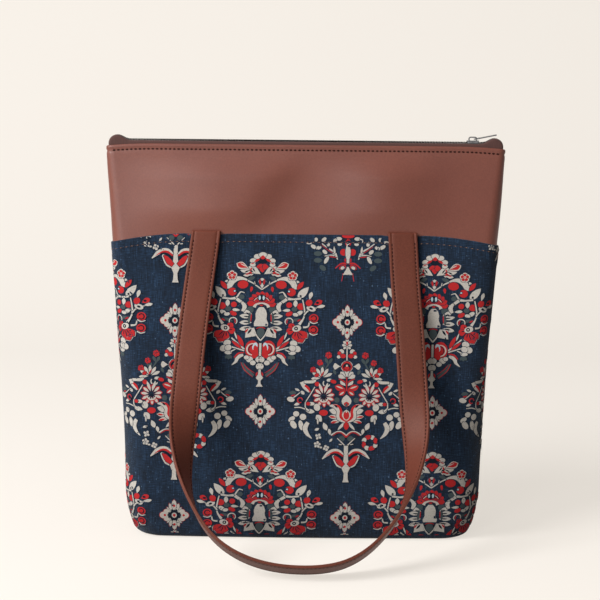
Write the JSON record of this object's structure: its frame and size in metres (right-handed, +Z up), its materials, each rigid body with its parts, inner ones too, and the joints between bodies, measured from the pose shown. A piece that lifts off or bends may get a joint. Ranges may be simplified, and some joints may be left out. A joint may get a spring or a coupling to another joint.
{
  "type": "tote bag",
  "caption": "Zip-top tote bag in printed dark cloth with a faux leather top band, boxed base and strap handles.",
  "frame": {"origin": "middle of the base, on the surface that the bag stands on", "axes": "+Z up, -Y out of the front with the slider at its right, X along the front"},
  "size_m": [0.373, 0.3244, 0.3819],
  "materials": {
    "cloth": "matte",
    "faux_leather": "satin",
    "strap_leather": "satin",
    "zip_tape": "matte",
    "zip_coil": "satin",
    "zip_metal": "polished",
    "lining": "matte"
  },
  "bodies": {
    "bag": {"front_panel": "cloth", "back_panel": "cloth", "front_yoke": "faux_leather", "back_yoke": "faux_leather", "lining": "lining", "zip_tape_front": "zip_tape", "zip_tape_back": "zip_tape", "zip_coil_front": "zip_coil", "zip_coil_back": "zip_coil", "front_handle_ends": "strap_leather", "back_handle_ends": "strap_leather"},
    "slider": {"zip_slider": "zip_metal"},
    "pull": {"zip_pull": "zip_metal"},
    "front_strap": {"front_handle": "strap_leather"},
    "back_strap": {"back_handle": "strap_leather"}
  },
  "joints": [
    {"name": "zip_slide", "type": "slide", "parent": "bag", "child": "slider", "axis": [1, 0, 0], "range_m": [-0.305, 0]},
    {"name": "pull_swing", "type": "hinge", "parent": "slider", "child": "pull", "pos_m": [0.1579, 0, 0.37727], "axis": [0, -1, 0], "range_deg": [0, 125]},
    {"name": "front_handle_swing", "type": "hinge", "parent": "bag", "child": "front_strap", "pos_m": [0, -0.01905, 0.2889], "axis": [-1, 0, 0], "range_deg": [0, 150]},
    {"name": "back_handle_swing", "type": "hinge", "parent": "bag", "child": "back_strap", "pos_m": [0, 0.01905, 0.2889], "axis": [1, 0, 0], "range_deg": [0, 150]}
  ]
}
